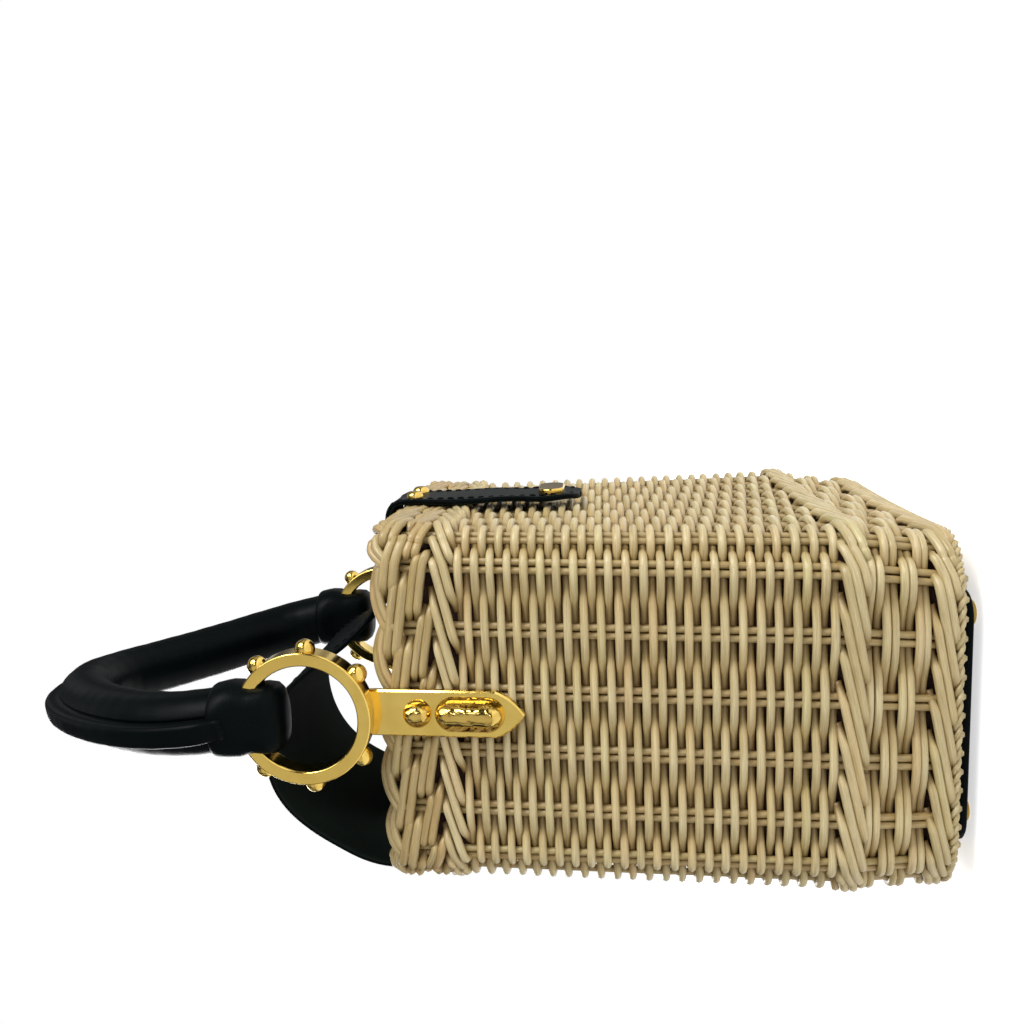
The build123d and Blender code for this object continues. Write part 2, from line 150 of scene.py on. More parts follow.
class Strands:
    """Many round canes or threads gathered into one mesh."""

    def __init__(self):
        self.verts, self.faces, self.grain, self.deep = [], [], [], []
        self.count = 0

    def add(self, pts, radius, up, closed=False, sides=8, deep=0.0):
        """A strand along pts. deep, 0 to 1, is how far it lies inside the weave, and sets how much painted
        shade darkens it.
        """
        pts = np.asarray(pts, float)
        n = len(pts)
        if closed:
            t = np.roll(pts, -1, 0) - np.roll(pts, 1, 0)
        else:
            t = np.gradient(pts, axis=0)
        t /= np.linalg.norm(t, axis=1)[:, None]
        up = np.broadcast_to(np.asarray(up, float), pts.shape)
        e1 = up - (up * t).sum(1)[:, None] * t
        e1 /= np.maximum(np.linalg.norm(e1, axis=1), 1e-9)[:, None]
        e2 = np.cross(t, e1)
        a = np.arange(sides) * 2 * math.pi / sides
        radius = np.broadcast_to(np.asarray(radius, float), (n,))
        ring = pts[:, None] + radius[:, None, None] * (
            np.cos(a)[None, :, None] * e1[:, None] + np.sin(a)[None, :, None] * e2[:, None]
        )
        self.verts.append(ring.reshape(-1, 3))
        i = np.arange(n if closed else n - 1)[:, None]
        j = np.arange(sides)[None, :]
        i2, j2 = (i + 1) % n, (j + 1) % sides
        quads = np.stack([i * sides + j, i * sides + j2, i2 * sides + j2, i2 * sides + j], -1)
        self.faces += (quads.reshape(-1, 4) + self.count).tolist()
        if not closed:
            self.faces.append([self.count + s for s in reversed(range(sides))])
            self.faces.append([self.count + (n - 1) * sides + s for s in range(sides)])
        step = np.linalg.norm(np.diff(pts, axis=0), axis=1)
        run = np.concatenate([[0], np.cumsum(step)]) + rng.uniform(0, 400)
        tone = rng.uniform(0, 1)
        grain = np.stack(np.broadcast_arrays(run[:, None], a[None, :], np.full((1, 1), tone)), -1)
        self.grain.append(grain.reshape(-1, 3))
        deep = np.broadcast_to(np.asarray(deep, float), (n,))
        self.deep.append(np.repeat(deep, sides))
        self.count += n * sides

    def piece(self, name, material, body, slot):
        return new_piece(
            name, np.concatenate(self.verts), self.faces, material, body,
            attributes={"grain": np.concatenate(self.grain), "deep": np.concatenate(self.deep)},
        )


# ---------------------------------------------------------------- materials
def material(name, **sockets):
    mat = bpy.data.materials.new(name)
    mat.use_nodes = True
    tree = mat.node_tree
    shader = tree.nodes["Principled BSDF"]
    for key, value in sockets.items():
        shader.inputs[key.replace("_", " ")].default_value = value
    return mat, tree, shader


def node(tree, kind, links=None, **values):
    """A node with its inputs set: links maps an input to the output that feeds it."""
    made = tree.nodes.new(kind)
    for key, value in values.items():
        if hasattr(made, key):
            setattr(made, key, value)
        else:
            made.inputs[key].default_value = value
    for key, output in (links or {}).items():
        tree.links.new(output, made.inputs[key])
    return made


def ramp(tree, factor, stops):
    made = tree.nodes.new("ShaderNodeValToRGB")
    row = made.color_ramp.elements
    while len(row) < len(stops):
        row.new(0.5)
    for element, (place, colour) in zip(row, stops):
        element.position = place
        element.color = (*colour, 1)
    tree.links.new(factor, made.inputs[0])
    return made.outputs[0]


def mix(tree, factor, a, b, blend="MIX"):
    made = tree.nodes.new("ShaderNodeMix")
    made.data_type = "RGBA"
    made.blend_type = blend
    for place, value in ((0, factor), (6, a), (7, b)):
        if hasattr(value, "links"):
            tree.links.new(value, made.inputs[place])
        elif place == 0:
            made.inputs[0].default_value = value
        else:
            made.inputs[place].default_value = (*value, 1)
    return made.outputs[2]


def bump(tree, shader, height, strength, distance):
    made = node(tree, "ShaderNodeBump", {"Height": height}, Strength=strength, Distance=distance)
    tree.links.new(made.outputs[0], shader.inputs["Normal"])


def cane_material():
    """Varnished cane: streaks along each strand, its own tone, and painted shade that darkens it deep in the
    weave.
    """
    mat, tree, shader = material("cane", Roughness=0.42, Specular_IOR_Level=0.5)
    shader.inputs["Coat Weight"].default_value = 0.32
    shader.inputs["Coat Roughness"].default_value = 0.3
    grain = node(tree, "ShaderNodeAttribute", attribute_name="grain")
    parts = node(tree, "ShaderNodeSeparateXYZ", {0: grain.outputs["Vector"]})
    run, angle, tone = parts.outputs
    spin = node(tree, "ShaderNodeMath", {0: angle}, operation="SINE")
    turn = node(tree, "ShaderNodeMath", {0: angle}, operation="COSINE")
    slow = node(tree, "ShaderNodeMath", {0: run}, operation="MULTIPLY")
    slow.inputs[1].default_value = 0.045
    far = node(tree, "ShaderNodeMath", {0: tone}, operation="MULTIPLY")
    far.inputs[1].default_value = 61.0
    along = node(tree, "ShaderNodeMath", {0: slow.outputs[0], 1: far.outputs[0]}, operation="ADD")
    strand = {0: along.outputs[0], 1: spin.outputs[0], 2: turn.outputs[0]}
    place = {"Vector": node(tree, "ShaderNodeCombineXYZ", strand).outputs[0]}
    streak = node(tree, "ShaderNodeTexNoise", place, Scale=2.6, Detail=5.0, Roughness=0.6)
    blotch = node(tree, "ShaderNodeTexNoise", place, Scale=0.7, Detail=2.0)
    base = ramp(tree, streak.outputs["Fac"], (
        (0.25, (0.42, 0.330, 0.175)), (0.48, (0.620, 0.525, 0.315)), (0.75, (0.78, 0.70, 0.465)),
    ))
    tint = ramp(tree, tone, (
        (0.0, (0.86, 0.84, 0.74)), (0.3, (1.0, 0.99, 0.93)), (0.6, (0.93, 0.92, 0.86)),
        (0.85, (1.0, 0.93, 0.84)), (1.0, (0.96, 0.99, 0.87)),
    ))
    base = mix(tree, 1.0, base, tint, "MULTIPLY")
    warm = ramp(tree, blotch.outputs["Fac"], ((0.35, (0.90, 0.84, 0.74)), (0.62, (1.0, 1.0, 1.0))))
    base = mix(tree, 1.0, base, warm, "MULTIPLY")
    deep = node(tree, "ShaderNodeAttribute", attribute_name="deep")
    # painted shade: the deep attribute darkens a strand towards a dark warm brown, most where it lies inside
    # the weave
    painted_shade_tint = ramp(tree, deep.outputs["Fac"], (
        (0.0, (1.0, 1.0, 1.0)), (0.5, (0.72, 0.64, 0.49)), (1.0, (0.30, 0.20, 0.09)),
    ))
    base = mix(tree, 1.0, base, painted_shade_tint, "MULTIPLY")
    tree.links.new(base, shader.inputs["Base Color"])
    fine = node(tree, "ShaderNodeTexNoise", place, Scale=9.0, Detail=3.0)
    bump(tree, shader, fine.outputs["Fac"], 0.25, 0.0002)
    return mat


def leather_material(name, colour, worn, rough, grain_scale, shine=0.045):
    """Smooth calf leather: pebbled grain and softly uneven gloss, a little paler where it is worn."""
    mat, tree, shader = material(name, Roughness=rough, Specular_IOR_Level=shine)
    where = {"Vector": node(tree, "ShaderNodeTexCoord").outputs["Object"]}
    cells = node(tree, "ShaderNodeTexVoronoi", where, Scale=grain_scale)
    cells.feature = "DISTANCE_TO_EDGE"
    cloud = node(tree, "ShaderNodeTexNoise", where, Scale=38.0, Detail=4.0)
    fine = node(tree, "ShaderNodeTexNoise", where, Scale=900.0, Detail=2.0)
    tone = ramp(tree, cloud.outputs["Fac"], ((0.3, colour), (0.75, worn)))
    tree.links.new(tone, shader.inputs["Base Color"])
    gloss = node(tree, "ShaderNodeMapRange", {"Value": cloud.outputs["Fac"]})
    gloss.inputs["To Min"].default_value = rough - 0.07
    gloss.inputs["To Max"].default_value = rough + 0.09
    tree.links.new(gloss.outputs[0], shader.inputs["Roughness"])
    grains = {0: cells.outputs["Distance"], 1: fine.outputs["Fac"]}
    both = node(tree, "ShaderNodeMath", grains, operation="ADD")
    bump(tree, shader, both.outputs[0], 0.22, 0.00012)
    return mat


def metal_material(name, colour, deep, rough, domed=0.0):
    """Polished plated metal with faint rubbing marks.

    domed rounds off flat tops across Y and ripples them like cast metal.
    """
    mat, tree, shader = material(name, Metallic=1.0, Roughness=rough)
    where = {"Vector": node(tree, "ShaderNodeTexCoord").outputs["Object"]}
    cloud = node(tree, "ShaderNodeTexNoise", where, Scale=120.0, Detail=3.0)
    rub = node(tree, "ShaderNodeTexNoise", where, Scale=1500.0, Detail=2.0)
    tone = ramp(tree, cloud.outputs["Fac"], ((0.3, deep), (0.7, colour)))
    tree.links.new(tone, shader.inputs["Base Color"])
    gloss = node(tree, "ShaderNodeMapRange", {"Value": rub.outputs["Fac"]})
    gloss.inputs["To Min"].default_value = rough * 0.7
    gloss.inputs["To Max"].default_value = rough * 1.35
    tree.links.new(gloss.outputs[0], shader.inputs["Roughness"])
    if domed:
        across = node(tree, "ShaderNodeSeparateXYZ", where).outputs["Y"]
        crown = node(tree, "ShaderNodeMath", {0: across, 1: across}, operation="MULTIPLY")
        drop = node(tree, "ShaderNodeMath", {0: crown.outputs[0]}, operation="MULTIPLY")
        drop.inputs[1].default_value = -domed
        cast = node(tree, "ShaderNodeTexNoise", where, Scale=330.0, Detail=1.0)
        ripple = node(tree, "ShaderNodeMath", {0: cast.outputs["Fac"]}, operation="MULTIPLY")
        ripple.inputs[1].default_value = 0.0006
        both = {0: drop.outputs[0], 1: ripple.outputs[0]}
        height = node(tree, "ShaderNodeMath", both, operation="ADD")
        bump(tree, shader, height.outputs[0], 1.0, 1.0)
    else:
        bump(tree, shader, cloud.outputs["Fac"], 0.03, 0.0002)
    return mat


def cloth_material(name, colour, light):
    """Plain woven lining cloth."""
    mat, tree, shader = material(name, Roughness=0.85)
    shader.inputs["Sheen Weight"].default_value = 0.25
    where = {"Vector": node(tree, "ShaderNodeTexCoord").outputs["Object"]}
    warp = node(tree, "ShaderNodeTexWave", where, Scale=420.0, Distortion=0.6)
    weft = node(tree, "ShaderNodeTexWave", where, Scale=420.0, Distortion=0.6)
    warp.bands_direction = "Z"
    weft.bands_direction = "DIAGONAL"
    crossing = {0: warp.outputs["Fac"], 1: weft.outputs["Fac"]}
    threads = node(tree, "ShaderNodeMath", crossing, operation="MULTIPLY")
    cloud = node(tree, "ShaderNodeTexNoise", where, Scale=30.0, Detail=3.0)
    tone = ramp(tree, cloud.outputs["Fac"], ((0.3, colour), (0.7, light)))
    tone = mix(tree, 0.35, tone, threads.outputs[0], "SOFT_LIGHT")
    tree.links.new(tone, shader.inputs["Base Color"])
    bump(tree, shader, threads.outputs[0], 0.4, 0.0002)
    return mat


CANE = cane_material()
LEATHER = leather_material("black_leather", (0.0006, 0.0016, 0.0018), (0.0016, 0.0034, 0.0036), 0.36, 1500.0)
INSIDE = leather_material("leather_inside", (0.011, 0.016, 0.0135), (0.016, 0.023, 0.019), 0.75, 1500.0,
                          shine=0.008)
THREAD = leather_material("black_thread", (0.004, 0.0055, 0.0055), (0.010, 0.012, 0.012), 0.6, 3000.0)
GOLD = metal_material("gold", (0.86, 0.62, 0.165), (0.76, 0.52, 0.12), 0.11)
DOME = metal_material("gold_dome", (0.80, 0.57, 0.15), (0.66, 0.43, 0.10), 0.08, domed=115.0)
STEEL = metal_material("steel", (0.62, 0.62, 0.60), (0.50, 0.50, 0.49), 0.28)
LINING = cloth_material("lining_cloth", (0.050, 0.018, 0.012), (0.080, 0.030, 0.020))

# ---------------------------------------------------------------- woven walls
CANE_R = 1.3
MIDDLE = -3.1            # centre line of the wall
SWING = 2.1              # how far a woven strand swings out of and into it
MAIN_Z, MAIN_PITCH, MAIN_ROWS = 43.6, 2.555, 44
DOUBLE_Z, DOUBLE_PITCH, DOUBLE_GAP, DOUBLE_ROWS = 17.2, 4.75, 2.45, 4
STAKE_GAP, STAKE_R = 1.3, 1.16


def weave_rows(canes, heights, radius, swing, start, steps=8):
    """Closed rows that run outside one stake and inside the next."""
    n = UNITS * steps
    k = np.arange(n) / steps
    for row, z in enumerate(heights):
        sign = 1 if (row + start) % 2 else -1
        phase = np.cos(math.pi * k) * sign
        shaped = np.sign(phase) * np.abs(phase) ** 0.8
        jog = rng.uniform(-0.14, 0.14)
        jog = jog + 0.12 * np.sin(2 * math.pi * k / UNITS * 3 + rng.uniform(0, 6.3))
        pos, up = wall(k, z + jog, MIDDLE + swing * shaped)
        # painted shade: each row darkens where it swings into the wall behind a stake
        canes.add(pos, radius * rng.uniform(0.95, 1.05), up, closed=True, deep=(1 - phase) * 0.42)


def stroke(canes, k0, z0, k1, z1, out, deep=-4.2, radius=CANE_R, n=24, edge=0.2, bow=0.0, shade=0.1):
    """One visible stroke of a twined row: from inside the wall it runs slanting outside and goes back in.

    edge is the share of its length that each end takes to come out, and shade how much painted shade dulls
    its tone.
    """
    t = np.linspace(0, 1, n)
    k = k0 + (k1 - k0) * t
    z = z0 + (z1 - z0) * t + bow * np.sin(math.pi * t)
    rise = smooth(t / edge) * smooth((1 - t) / edge)
    off = deep + (out - deep) * rise
    pos, up = wall(k, z, off)
    r = radius * (0.86 + 0.14 * rise) * rng.uniform(0.95, 1.05)
    # painted shade: the stroke is dulled by shade all along, and darker still where its ends go into the
    # wall
    canes.add(pos, r, up, deep=shade + (1 - rise) * (0.95 - shade))


# main weave
main = Strands()
weave_rows(main, MAIN_Z + MAIN_PITCH * np.arange(MAIN_ROWS), CANE_R, SWING, 0)
main = main.piece("weave_main", CANE, "basket", "cane")
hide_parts("main_weave")

# lower weave of double rows
lower = Strands()
for pair in range(DOUBLE_ROWS):
    for shift in (0.0, DOUBLE_GAP):
        weave_rows(lower, [DOUBLE_Z + shift + DOUBLE_PITCH * pair], CANE_R * 0.97, SWING, pair)
lower = lower.piece("weave_lower", CANE, "basket", "cane")
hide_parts("lower_weave")

# upright stake pairs
stakes = Strands()
height = np.linspace(6, 172, 56)
for s in range(UNITS):
    for side in (-STAKE_GAP, STAKE_GAP):
        pos, up = wall(s, height, MIDDLE)
        across = np.cross(np.array([0, 0, 1.0]), up)
        pos = pos + across * (side + rng.uniform(-0.12, 0.12))
        # painted shade: the stakes are darkened as they lie behind the woven rows
        stakes.add(pos, STAKE_R, up, sides=7, deep=0.5)
stakes = stakes.piece("stakes", CANE, "basket", "cane")
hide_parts("main_weave")

# twined row at the bend: three strokes to every two stake pairs, lying side by side
bend = Strands()
STROKES = UNITS * 3 // 2
for i in range(STROKES):
    s, wob = i / 1.5, rng.uniform(-0.2, 0.2)
    stroke(bend, s - 0.3, 42.4 + wob, s + 1.85, 34.0 + wob, out=-0.35, radius=1.4, n=36, edge=0.17)
bend = bend.piece("wale_bend", CANE, "basket", "cane")
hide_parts("bend_wale")

# twined row under the border
top = Strands()
for i in range(STROKES):
    s, wob = i / 1.5, rng.uniform(-0.2, 0.2)
    stroke(top, s - 0.3, 162.4 + wob, s + 1.4, 154.6 + wob, out=-0.15, radius=1.42, n=32, edge=0.2)
top = top.piece("wale_top", CANE, "basket", "cane")
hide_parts("top_wale")

# twined row at the foot
foot = Strands()
for i in range(STROKES):
    s, wob = i / 1.5, rng.uniform(-0.15, 0.15)
    stroke(foot, s - 0.2, 15.6 + wob, s + 1.85, 7.6 + wob, out=-0.8, radius=1.36, n=34, edge=0.18)
# fine twisted pair round the bottom edge
TWISTS, TWIST_R, TWIST_Z, TWIST_OUT = 74, 0.7, 7.3, -1.5
twist = np.linspace(0, UNITS, 10 * TWISTS, endpoint=False)
for phase in (0, math.pi):
    turn = 2 * math.pi * TWISTS * twist / UNITS + phase
    pos, up = wall(twist, TWIST_Z + TWIST_R * np.sin(turn), TWIST_OUT + TWIST_R * np.cos(turn))
    # painted shade: a slight darkening through deep
    foot.add(pos, 0.8, up, closed=True, sides=6, deep=0.1)
foot = foot.piece("wale_foot", CANE, "basket", "cane")
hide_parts("base_wale")

# ---------------------------------------------------------------- braided border
rim = Strands()
# One loop's two strands: stake pairs along the border, height and place out of the wall.
LOOPS = (
    ((-1.20, 175.6, -4.8), (-0.98, 177.8, -2.9), (-0.72, 179.2, -1.3), (-0.45, 178.9, -0.5),
     (-0.22, 177.2, 0.0), (-0.04, 174.9, -0.1), (0.10, 172.9, -3.0)),
    ((-1.15, 177.0, -5.8), (-0.88, 179.8, -4.2), (-0.60, 181.1, -2.7), (-0.32, 180.4, -1.6),
     (-0.08, 178.2, -0.7), (0.10, 175.4, -0.6), (0.24, 173.2, -3.4)),
)
for s in range(UNITS):
    wob = rng.uniform(-0.25, 0.25)
    # first course, rising from under the twined row
    for rise in (0.0, 2.75):
        z = rise + wob
        # painted shade: shade=0.45 dulls the border strokes
        stroke(rim, s - 0.5 + 0.05 * rise, 161.9 + z, s + 0.92, 167.3 + z, out=-0.25, radius=1.4, n=30,
               bow=0.3, shade=0.45)
    # second course, wider
    for rise in (0.0, 2.95):
        z = rise + wob
        stroke(rim, s + 0.06, 169.4 + z, s + 1.6, 174.9 + z, out=0.3, radius=1.55, n=30, bow=0.3, shade=0.45)
    # loops over the rim
    for points in LOOPS:
        k, z, off = catmull([(s + a, b, c) for a, b, c in points], 30).T
        pos, up = wall(k, z + wob, off)
        # painted shade: the loops are dulled, more where they dip into the wall
        rim.add(pos, 1.42, up, deep=0.38 + 0.25 * (off < -3.0))
    # the same strands lying along the inside of the rim
    stroke(rim, s - 0.1, 177.6, s + 1.5, 172.4, out=-6.0, deep=-3.4, radius=1.4, n=26)
    stroke(rim, s + 0.3, 174.6, s + 1.7, 169.6, out=-6.0, deep=-3.4, radius=1.4, n=26)
rim = rim.piece("border", CANE, "basket", "cane")
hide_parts("rim_border")

# ---------------------------------------------------------------- woven bottom
base = Strands()
BOTTOM_Z = 7.0
BOTTOM_INSET = 3.4       # its rows end this far inside the outline
RIB_SPAN = 63
UP = (0, 0, 1.0)
ribs = np.linspace(-RIB_SPAN, RIB_SPAN, 12)
hx, hy, r, shift = [float(v) for v in outline(np.array(9.0))]
for row, y in enumerate(np.arange(-48.5, 49, 2.9)):
    reach = hx - BOTTOM_INSET
    corner = max(abs(y) - (hy - r), 0)
    if corner:
        reach = (hx - r) + math.sqrt(max((r - BOTTOM_INSET) ** 2 - corner ** 2, 1.0))
    x = np.linspace(-reach, reach, 84)
    phase = np.cos(math.pi * (x + RIB_SPAN) / (ribs[1] - ribs[0]) + math.pi * (row % 2))
    pts = np.stack([x, np.full_like(x, y + shift), BOTTOM_Z + 1.1 * phase], -1)
    # painted shade: the rows darken where they bow up into the weave
    base.add(pts, 1.35, UP, sides=7, deep=(1 + phase) * 0.3)
y = np.linspace(-50.5, 50.5, 24) + FOOT[4]
for x in ribs:
    for side in (-STAKE_GAP, STAKE_GAP):
        pts = np.stack([np.full_like(y, x + side), y, np.full_like(y, BOTTOM_Z)], -1)
        # painted shade: the rib stakes are darkened as they lie under the rows
        base.add(pts, 1.05, UP, sides=7, deep=0.3)
base = base.piece("woven_bottom", CANE, "basket", "cane")
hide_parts("basket_base")

# ---------------------------------------------------------------- lining
def grid_faces(rows, cols):
    """Faces between closed rows of points."""
    faces = []
    for i in range(rows - 1):
        for j in range(cols):
            j2 = (j + 1) % cols
            faces.append([i * cols + j, i * cols + j2, (i + 1) * cols + j2, (i + 1) * cols + j])
    return faces


LINING_IN = -7.4         # out of the wall, so inside it
LINING_Z, LINING_TOP = 10.3, 174.0
around_k = np.linspace(0, UNITS, 224, endpoint=False)
levels = np.concatenate([[LINING_Z], np.linspace(12, 172, 34), [LINING_TOP]])
rings = []
for z in levels:
    ripple = 0.35 * np.sin(around_k * 2.1 + z * 0.09) + 0.25 * np.sin(around_k * 5.3 - z * 0.05)
    ripple = ripple * min(1.0, (z - 10) / 30)
    rings.append(wall(around_k, z, LINING_IN + ripple)[0])
cols = len(around_k)
faces = grid_faces(len(levels), cols)
# floor of the lining: rings shrinking to the middle
above, here = 0, len(levels) * cols
for scale in (0.75, 0.5, 0.25):
    rings.append(rings[0] * (scale, scale, 1))
    for j in range(cols):
        j2 = (j + 1) % cols
        faces.append([above + j2, above + j, here + j, here + j2])
    above, here = here, here + cols
for j in range(cols):
    faces.append([above + (j + 1) % cols, above + j, here])
outer = np.concatenate([*rings, [[0, FOOT[4], LINING_Z]]])
lining = new_piece("lining_bag", outer, [list(reversed(f)) for f in faces], LINING, "basket")
solid = lining.modifiers.new("cloth", "SOLIDIFY")
solid.thickness = 0.0009
solid.offset = 1
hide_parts("lining")

# ---------------------------------------------------------------- leather: patch under the basket
def rounded_rect(hx, hy, r, n=8):
    pts = []
    x, y = hx - r, hy - r
    for cx, cy, a0 in ((x, y, 0), (-x, y, 90), (-x, -y, 180), (x, -y, 270)):
        for i in range(n + 1):
            a = math.radians(a0 + 90 * i / n)
            pts.append((cx + r * math.cos(a), cy + r * math.sin(a)))
    return np.array(pts)


def layered(loops):
    """Closed loops of equal length stacked into one closed form."""
    n = len(loops[0])
    verts = np.concatenate(loops)
    faces = grid_faces(len(loops), n)
    faces.append(list(reversed(range(n))))
    faces.append([(len(loops) - 1) * n + i for i in range(n)])
    return verts, faces


PATCH_X, PATCH_Y, PATCH_R = 75.5, 39, 8
PATCH_LEVELS = (
    # how far inside its outline, height
    (12.0, 2.95), (3.6, 2.95), (2.6, 3.12), (1.6, 2.95), (0.7, 3.0), (0.1, 3.45), (0.0, 4.0), (0.15, 5.4),
    (0.8, 6.0), (12.0, 5.0),
)


def patch_loop(inset, z):
    xy = rounded_rect(PATCH_X - inset, PATCH_Y - inset, PATCH_R - min(inset, 6))
    return np.column_stack([xy[:, 0], xy[:, 1] + FOOT[4], np.full(len(xy), z)])


verts, faces = layered([patch_loop(inset, z) for inset, z in PATCH_LEVELS])
patch = new_piece("patch_leather", verts, faces, LEATHER, "basket")
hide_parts("base_patch")


def stitches(threads, line, up, pitch=3.6, length=2.5, radius=0.28, lift=0.1):
    """Separate stitches along a line of points, lying on the surface that up points out of."""
    line, up = np.asarray(line, float), np.asarray(up, float)
    run = np.concatenate([[0], np.cumsum(np.linalg.norm(np.diff(line, axis=0), axis=1))])
    up = np.broadcast_to(up, line.shape)
    for s in np.arange(pitch / 2, run[-1] - length / 2, pitch):
        t = np.linspace(-0.5, 0.5, 6)
        at = s + t * length
        pts = np.stack([np.interp(at, run, line[:, i]) for i in range(3)], -1)
        n = np.stack([np.interp(at, run, up[:, i]) for i in range(3)], -1)
        n /= np.linalg.norm(n, axis=1)[:, None]
        pts = pts + n * (lift - 0.55 * (2 * t[:, None]) ** 4)
        threads.add(pts, radius, n, sides=6)


seam = Strands()
edge_line = patch_loop(2.6, 3.1)
stitches(seam, np.concatenate([edge_line, edge_line[:1]]), (0, 0, -1.0))
seam.piece("patch_stitches", THREAD, "basket", "black_leather")

# ---------------------------------------------------------------- leather sheets with rounded edges
def leather_strip(line, half, thick, wave=0.0):
    """A strip of leather along a line in the YZ plane (mm), with half its width at each point of the line.

    The third result tells which faces are on its inner side.
    """
    line = np.asarray(line, float)
    half = np.asarray(half, float)
    d = np.gradient(line, axis=0)
    d /= np.linalg.norm(d, axis=1)[:, None]
    normal = np.stack([d[:, 1], -d[:, 0]], -1)
    u = np.sin(np.linspace(-1, 1, 25) * math.pi / 2)
    u = np.sign(u) * np.abs(u) ** 0.9
    loop = [(v, 1.0) for v in u] + [(v, -1.0) for v in u[::-1]]
    rounding = thick * 0.6
    verts = []
    for i, (y, z) in enumerate(line):
        for v, s in loop:
            edge = max(0.0, abs(v) * half[i] - (half[i] - rounding)) / rounding
            t = thick / 2 * s * math.sqrt(max(1 - 0.8 * edge ** 2, 0.05))
            sag = wave * (abs(v) ** 2) * math.sin(i * 0.21 + 1.3 * (v > 0))
            verts.append((v * half[i], y + normal[i][0] * (t + sag), z + normal[i][1] * (t + sag)))
    n = len(loop)
    faces = grid_faces(len(line), n)
    # ends closed by quads between the outer and inner side, so no long thin faces
    m = len(u)
    for row, flip in ((0, False), (len(line) - 1, True)):
        off = row * n
        for i in range(m - 1):
            quad = [off + i, off + i + 1, off + n - 2 - i, off + n - 1 - i]
            faces.append(quad if flip else quad[::-1])
    inner = [m <= i % n < n - 1 and i < n * (len(line) - 1) for i in range(len(faces))]
    return np.array(verts), faces, inner


FLAP_T = 2.0
FRONT_Y = -59.1          # middle of the tongue's thickness
TONGUE_HALF, TIP_R = 14, 10
FLAP_LINE = [
    (62.15, 177.5), (62.3, 181.0), (60.8, 190.0), (57.2, 199.0), (50.2, 210.0), (41.0, 219.0), (31.0, 224.2),
    (20.0, 225.6), (9.5, 223.2), (0.5, 217.2), (-6.5, 208.8), (-12.5, 199.4), (-19.5, 191.4), (-29.0, 186.4),
    (-40.0, 184.6), (-52.0, 184.2), (-57.3, 182.6), (FRONT_Y, 178.5), (FRONT_Y, 165.0), (FRONT_Y, 150.0),
]
# half width of the flap by its place from back to front
WIDTH_Y = (80, 14, 3, -8, -15, -22, -30, -37, -44, -80)
WIDTH = (44, 44, 40.4, 32.6, 25.5, 19.6, 16.2, 14.7, 14.0, 14.0)


def flap_half(line):
    wide = np.interp(-line[:, 0], [-y for y in WIDTH_Y], WIDTH)
    tip = (line[:, 0] < -50) & (line[:, 1] < 126)
    low = np.clip((126.3 - line[:, 1]) / TIP_R, 0, 0.999)
    return np.where(tip, TONGUE_HALF - TIP_R + TIP_R * np.sqrt(1 - low ** 2), wide)


def line_inside(piece, inner):
    """Gives the inner side of a strip its own matt leather."""
    piece.data.materials.append(INSIDE)
    piece.data.polygons.foreach_set("material_index", np.array(inner, np.int32))


main_run = catmull(FLAP_LINE, 150)
low_run = np.stack([np.full(14, FRONT_Y), np.linspace(149, 136, 14)], -1)
to_tip = np.sin(np.linspace(0, 1, 46) * math.pi / 2)
tip_run = np.stack([np.full(46, FRONT_Y), 135.0 - 19.0 * to_tip], -1)
flap_run = np.concatenate([main_run, low_run, tip_run])
verts, faces, inner = leather_strip(flap_run, flap_half(flap_run), FLAP_T, wave=0.3)
flap = new_piece("flap_leather", verts, faces, LEATHER, "flap")
line_inside(flap, inner)
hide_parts("flap")


# tone-on-tone stitching near the flap's edge
d = np.gradient(flap_run, axis=0)
d /= np.linalg.norm(d, axis=1)[:, None]
out = np.stack([d[:, 1], -d[:, 0]], -1)
flap_seam = Strands()
wide = flap_half(flap_run) - 3.0
keep = wide > 6.5
for side in (-1, 1):
    top_pts = np.column_stack([side * wide, flap_run + out * (FLAP_T / 2)])[keep]
    ups = np.column_stack([np.zeros(len(out)), out])[keep]
    stitches(flap_seam, top_pts, ups)
flap_seam.piece("flap_stitches", THREAD, "flap", "black_leather")

# leather on the back, and the fold that joins it to the flap
BACK_T, BACK_HALF, BACK_R = 2.1, 44, 14
BACK_LINE = [
    (59.05, 118.2), (59.6, 132.0), (60.15, 146.0), (60.7, 160.0), (61.2, 172.0), (61.75, 175.2),
    (62.1, 177.0), (62.3, 180.0),
]
back_run = catmull(BACK_LINE, 60)
low = np.clip((132.2 - back_run[:, 1]) / BACK_R, 0, 0.995)
back_half = BACK_HALF - BACK_R + BACK_R * np.sqrt(1 - low ** 2)
verts, faces, inner = leather_strip(back_run, back_half, BACK_T)
back = new_piece("back_leather", verts, faces, LEATHER, None)
line_inside(back, inner)
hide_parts("back_panel")
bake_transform(back)

# ---------------------------------------------------------------- rolled handle
RING_X = 67.6
LEG_Z = 227.0            # height where the roll starts
LEAN = math.radians(6.75)
ROLL_R = 10.3
SLACK = 3.2              # how far the +X leg hangs back
ARCH = [
    (RING_X, 0.0), (RING_X, 9.0), (66.2, 18.0), (62.2, 27.6), (56.4, 36.8), (48.4, 47.0), (38.2, 57.6),
    (26.8, 67.0), (14.4, 74.2), (0.0, 77.0),
]
arch = np.array(ARCH + [(-x, up) for x, up in reversed(ARCH[:-1])])
path = catmull(arch, 150)


def lean_back(x, up, out_of_plane):
    """Handle plane to object, mm: x across, up along the leaning plane, out_of_plane towards the back."""
    return np.stack([
        x, np.sin(LEAN) * up + np.cos(LEAN) * out_of_plane,
        LEG_Z + np.cos(LEAN) * up - np.sin(LEAN) * out_of_plane,
    ], -1)


angles = np.concatenate([
    np.linspace(-math.pi, -0.62, 22), np.linspace(-0.58, -0.30, 9), np.linspace(-0.27, 0.27, 13),
    np.linspace(0.30, 0.58, 9), np.linspace(0.62, math.pi, 22)[:-1],
])


